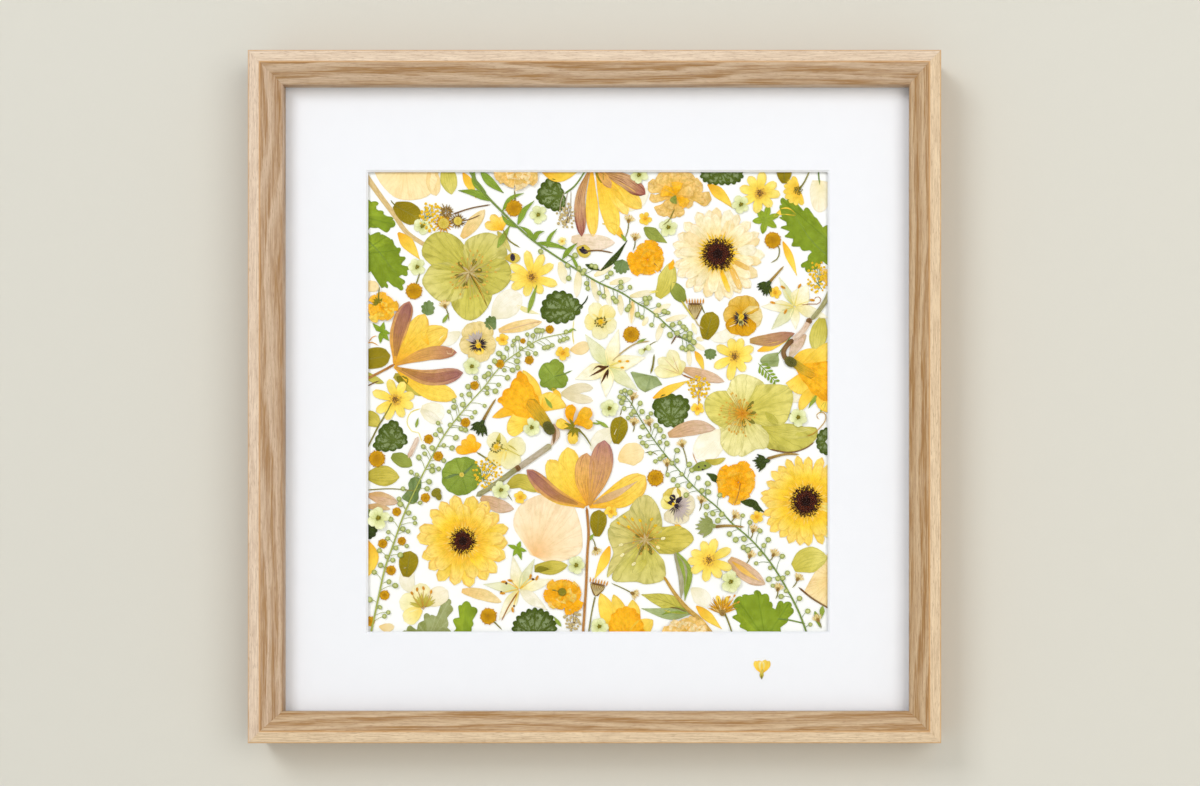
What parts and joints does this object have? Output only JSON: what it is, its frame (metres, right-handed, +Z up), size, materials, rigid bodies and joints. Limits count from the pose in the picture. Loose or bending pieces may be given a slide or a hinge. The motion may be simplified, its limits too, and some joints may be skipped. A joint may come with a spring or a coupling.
{
  "type": "pressed flower frame",
  "caption": "Square glazed oak frame with a bevelled window mount over pressed flowers, leaves and seed sprays fixed flat on a white sheet, with wall hangers.",
  "frame": {"origin": "on the wall plane, midway between the two sawtooth hangers, where the frame hangs", "axes": "+X to the viewer's right, +Y into the wall, +Z up; the glass faces -Y"},
  "size_m": [0.535, 0.0415, 0.535],
  "materials": {
    "oak": "waxed straight-grained oak",
    "glass": "clear picture glass",
    "mount_board": "smooth white mount board",
    "specimen_sheet": "smooth white sheet",
    "back_board": "plain fibreboard",
    "steel": "zinc-plated steel",
    "rubber": "soft clear-backed pad",
    "cream_petal": "dried cream petals, thin and see-through at the edge",
    "yellow_petal": "dried yellow petals, veined",
    "green_petal": "dried yellow-green petals, veined",
    "orange_petal": "dried orange petals, wrinkled",
    "peach_petal": "dried peach petals, smooth",
    "leaf_green": "dried mid-green leaf, matt",
    "leaf_dark": "dried dark leaf with silvery marks",
    "seed_spray": "dried green seed pods on a stem"
  },
  "bodies": {
    "root": {"rail_bottom": "oak", "rail_left": "oak", "rail_top": "oak", "rail_right": "oak", "glass": "glass", "window_mount": "mount_board", "specimen_sheet": "specimen_sheet", "back_board": "back_board", "framers_point_1": "steel", "framers_point_2": "steel", "framers_point_3": "steel", "framers_point_4": "steel", "framers_point_5": "steel", "framers_point_6": "steel", "framers_point_7": "steel", "framers_point_8": "steel", "hanger_left": "steel", "hanger_right": "steel", "hanger_screw_1": "steel", "hanger_screw_2": "steel", "hanger_screw_3": "steel", "hanger_screw_4": "steel", "bumper_left": "rubber", "bumper_right": "rubber", "calendula_cream": "cream_petal", "calendula_gold_left": "yellow_petal", "calendula_gold_right": "yellow_petal", "lily_centre": "cream_petal", "lily_right": "cream_petal", "lily_bottom": "cream_petal", "hellebore_green": "green_petal", "hellebore_pale": "green_petal", "hellebore_stemmed": "green_petal", "tulip_left": "yellow_petal", "tulip_bottom": "yellow_petal", "tulip_top": "yellow_petal", "daffodil_centre": "orange_petal", "daffodil_right": "orange_petal", "daffodil_bottom": "orange_petal", "viola_left": "yellow_petal", "viola_right": "yellow_petal", "viola_bottom": "yellow_petal", "buttercup_pale": "cream_petal", "anemone_pale": "cream_petal", "begonia_orange": "orange_petal", "peach_petal_large": "peach_petal", "peach_petal_top": "peach_petal", "lobed_leaf_left": "leaf_green", "lobed_leaf_right": "leaf_green", "lobed_leaf_low_right": "leaf_green", "columbine_leaf": "leaf_green", "scalloped_leaf_top": "leaf_dark", "scalloped_leaf_centre": "leaf_dark", "scalloped_leaf_left": "leaf_dark", "scalloped_leaf_right": "leaf_dark", "round_leaf_centre": "leaf_green", "round_leaf_low": "leaf_green", "seed_spray_left": "seed_spray", "seed_spray_top": "seed_spray", "seed_spray_right": "seed_spray"}
  },
  "joints": []
}
